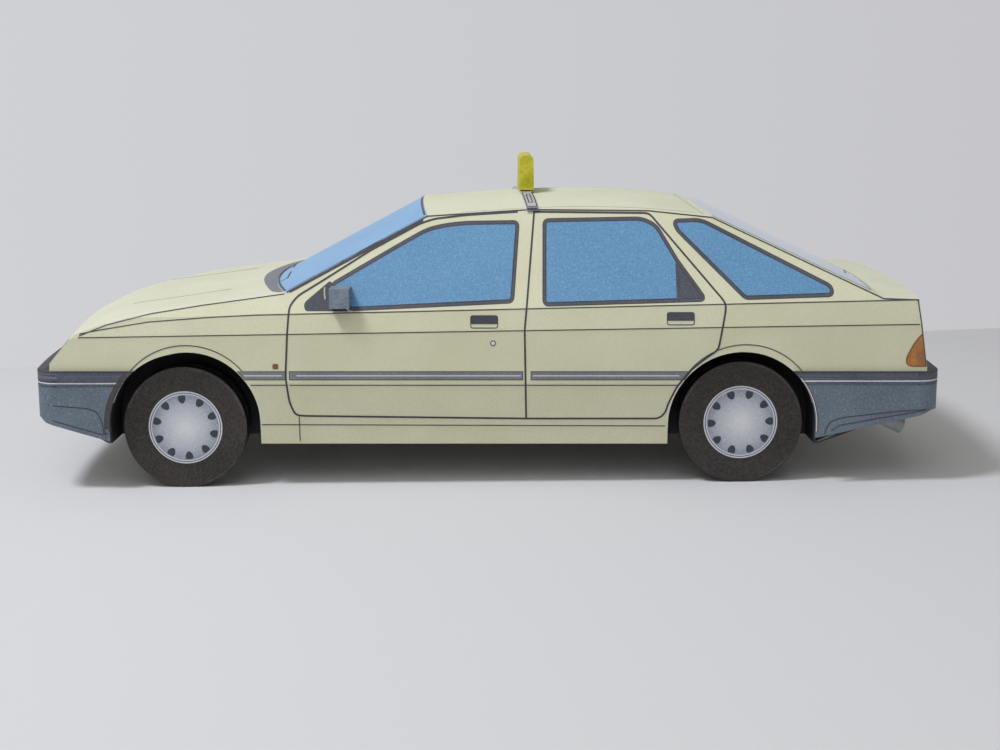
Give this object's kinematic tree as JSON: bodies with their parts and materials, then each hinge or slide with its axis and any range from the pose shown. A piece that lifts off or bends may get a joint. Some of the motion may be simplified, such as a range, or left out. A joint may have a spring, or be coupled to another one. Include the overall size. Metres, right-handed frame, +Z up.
{
  "type": "folded card model of a taxi",
  "caption": "Small folded and glued card model of a five-door fastback taxi with a yellow roof sign, rolling on two axles.",
  "frame": {"origin": "on the ground, under the middle of the model's length and width", "axes": "+X towards the nose, +Y towards the model's left side, +Z up"},
  "size_m": [0.0997, 0.0418, 0.0351],
  "materials": {
    "ivory_card": "matt printed card",
    "window_card": "matt printed card",
    "bumper_card": "matt printed card",
    "plain_card": "bare card",
    "black_card": "matt black card",
    "exhaust_paper": "rolled paper",
    "mirror_card": "matt printed card",
    "silver_card": "silver-painted card",
    "sign_card": "painted card",
    "tyre_card": "laminated card, varnished edge",
    "wheel_print": "printed card disc",
    "axle_stick": "bare wood stick"
  },
  "bodies": {
    "shell": {"left_side": "ivory_card", "right_side": "ivory_card", "bonnet": "ivory_card", "windscreen": "window_card", "roof": "ivory_card", "rear_window": "ivory_card", "boot_lid": "ivory_card", "tail_panel": "ivory_card", "nose_panel": "ivory_card", "front_bumper": "bumper_card", "rear_bumper": "bumper_card", "floor_pan": "plain_card", "front_left_well": "black_card", "front_right_well": "black_card", "rear_left_well": "black_card", "rear_right_well": "black_card", "front_axle_tube": "plain_card", "rear_axle_tube": "plain_card", "exhaust_pipe": "exhaust_paper", "left_mirror": "mirror_card", "right_mirror": "mirror_card", "roof_bar": "silver_card", "roof_sign": "sign_card"},
    "front_axle_set": {"front_axle": "axle_stick", "front_left_tyre": "tyre_card", "front_left_wheel_face": "wheel_print", "front_right_tyre": "tyre_card", "front_right_wheel_face": "wheel_print"},
    "rear_axle_set": {"rear_axle": "axle_stick", "rear_left_tyre": "tyre_card", "rear_left_wheel_face": "wheel_print", "rear_right_tyre": "tyre_card", "rear_right_wheel_face": "wheel_print"}
  },
  "joints": [
    {"name": "front_wheels_roll", "type": "hinge", "parent": "shell", "child": "front_axle_set", "pos_m": [0.03265, 0, 0.0067], "axis": [0, 1, 0], "continuous": true},
    {"name": "rear_wheels_roll", "type": "hinge", "parent": "shell", "child": "rear_axle_set", "pos_m": [-0.02795, 0, 0.0067], "axis": [0, 1, 0], "continuous": true}
  ]
}
